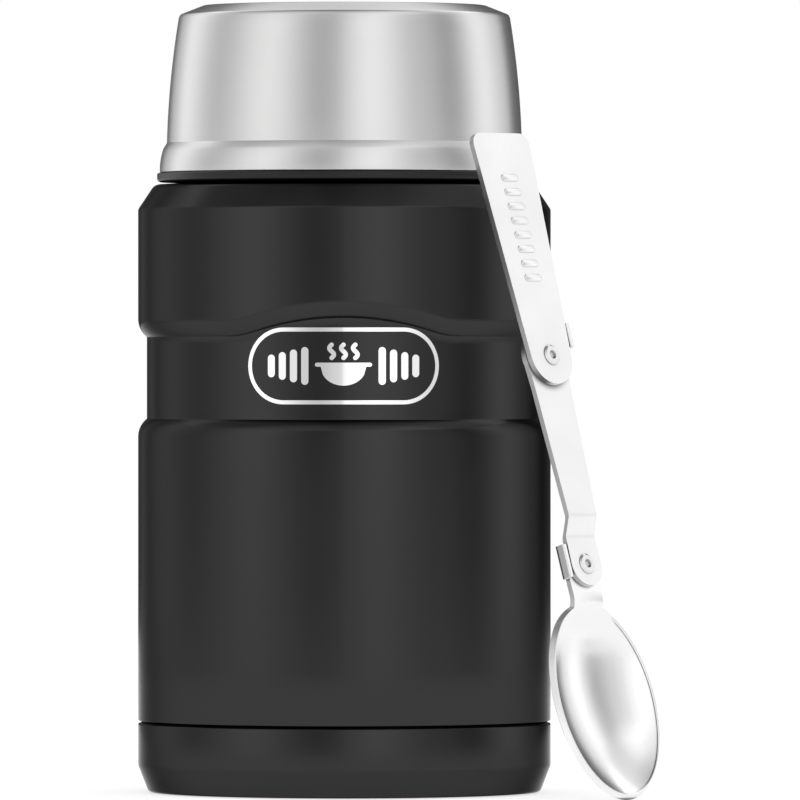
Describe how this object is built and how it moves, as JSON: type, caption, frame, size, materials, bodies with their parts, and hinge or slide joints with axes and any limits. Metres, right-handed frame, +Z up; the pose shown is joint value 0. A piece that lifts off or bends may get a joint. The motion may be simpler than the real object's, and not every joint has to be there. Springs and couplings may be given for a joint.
{
  "type": "insulated food jar",
  "caption": "Insulated steel food jar with a screw-on serving bowl lid, a screw stopper under it and a folding steel spoon standing beside it.",
  "frame": {"origin": "on the jar's axis, at the flat underside of its base", "axes": "+Z up along the jar's axis; -Y is the front, with the arched brow over the waist; the spoon stands at +X, -Y"},
  "size_m": [0.1243, 0.1135, 0.1886],
  "materials": {
    "powder_coat": "matte",
    "bare_steel": "satin",
    "brushed_lid": "satin",
    "rim_plastic": "satin",
    "stopper_plastic": "matte",
    "silicone": "matte",
    "insulation": "matte",
    "solder_glass": "gloss",
    "getter_metal": "matte",
    "satin_spoon": "satin",
    "polished_spoon": "polished",
    "rivet_steel": "satin"
  },
  "bodies": {
    "jar": {"outer_shell": "powder_coat", "inner_liner": "bare_steel", "outer_bottom": "bare_steel", "vacuum_plug": "solder_glass", "getter": "getter_metal", "getter_clip": "bare_steel", "base_cup": "powder_coat"},
    "lid_insert": {"lid_core": "insulation"},
    "lid": {"lid_shell": "brushed_lid", "lid_bowl": "bare_steel", "lid_collar": "rim_plastic"},
    "stopper_insert": {"stopper_core": "insulation"},
    "stopper": {"stopper_body": "stopper_plastic", "stopper_base": "stopper_plastic", "stopper_seal": "silicone"},
    "link": {"spoon_link": "satin_spoon", "upper_rivet": "rivet_steel", "lower_rivet": "rivet_steel", "upper_washer": "rivet_steel", "lower_washer": "rivet_steel"},
    "handle": {"spoon_handle": "satin_spoon"},
    "bowl": {"spoon_bowl": "polished_spoon"}
  },
  "joints": [
    {"name": "lid_rise", "type": "slide", "parent": "jar", "child": "lid_insert", "axis": [0, 0, 1], "range_m": [0, 0.0054]},
    {"name": "lid_turn", "type": "hinge", "parent": "lid_insert", "child": "lid", "pos_m": [0, 0, 0.15], "axis": [0, 0, 1], "range_deg": [0, 541]},
    {"name": "stopper_rise", "type": "slide", "parent": "jar", "child": "stopper_insert", "axis": [0, 0, 1], "range_m": [0, 0.004]},
    {"name": "stopper_turn", "type": "hinge", "parent": "stopper_insert", "child": "stopper", "pos_m": [0, 0, 0.15], "axis": [0, 0, 1], "range_deg": [0, 451]},
    {"name": "spoon_lift", "type": "slide", "parent": "jar", "child": "link", "axis": [0, 0, 1], "range_m": [0, 0.12]},
    {"name": "handle_fold", "type": "hinge", "parent": "link", "child": "handle", "pos_m": [0.04914, -0.03865, 0.10478], "axis": [0.7032, -0.6443, 0.3007], "range_deg": [0, 180]},
    {"name": "bowl_fold", "type": "hinge", "parent": "link", "child": "bowl", "pos_m": [0.06031, -0.04889, 0.05671], "axis": [0.7032, -0.6443, 0.3007], "range_deg": [0, 180]}
  ],
  "couplings": [
    {"joint": "lid_turn", "follows": "lid_rise", "rad_per_m": 1745.3},
    {"joint": "stopper_turn", "follows": "stopper_rise", "rad_per_m": 1963.5}
  ]
}
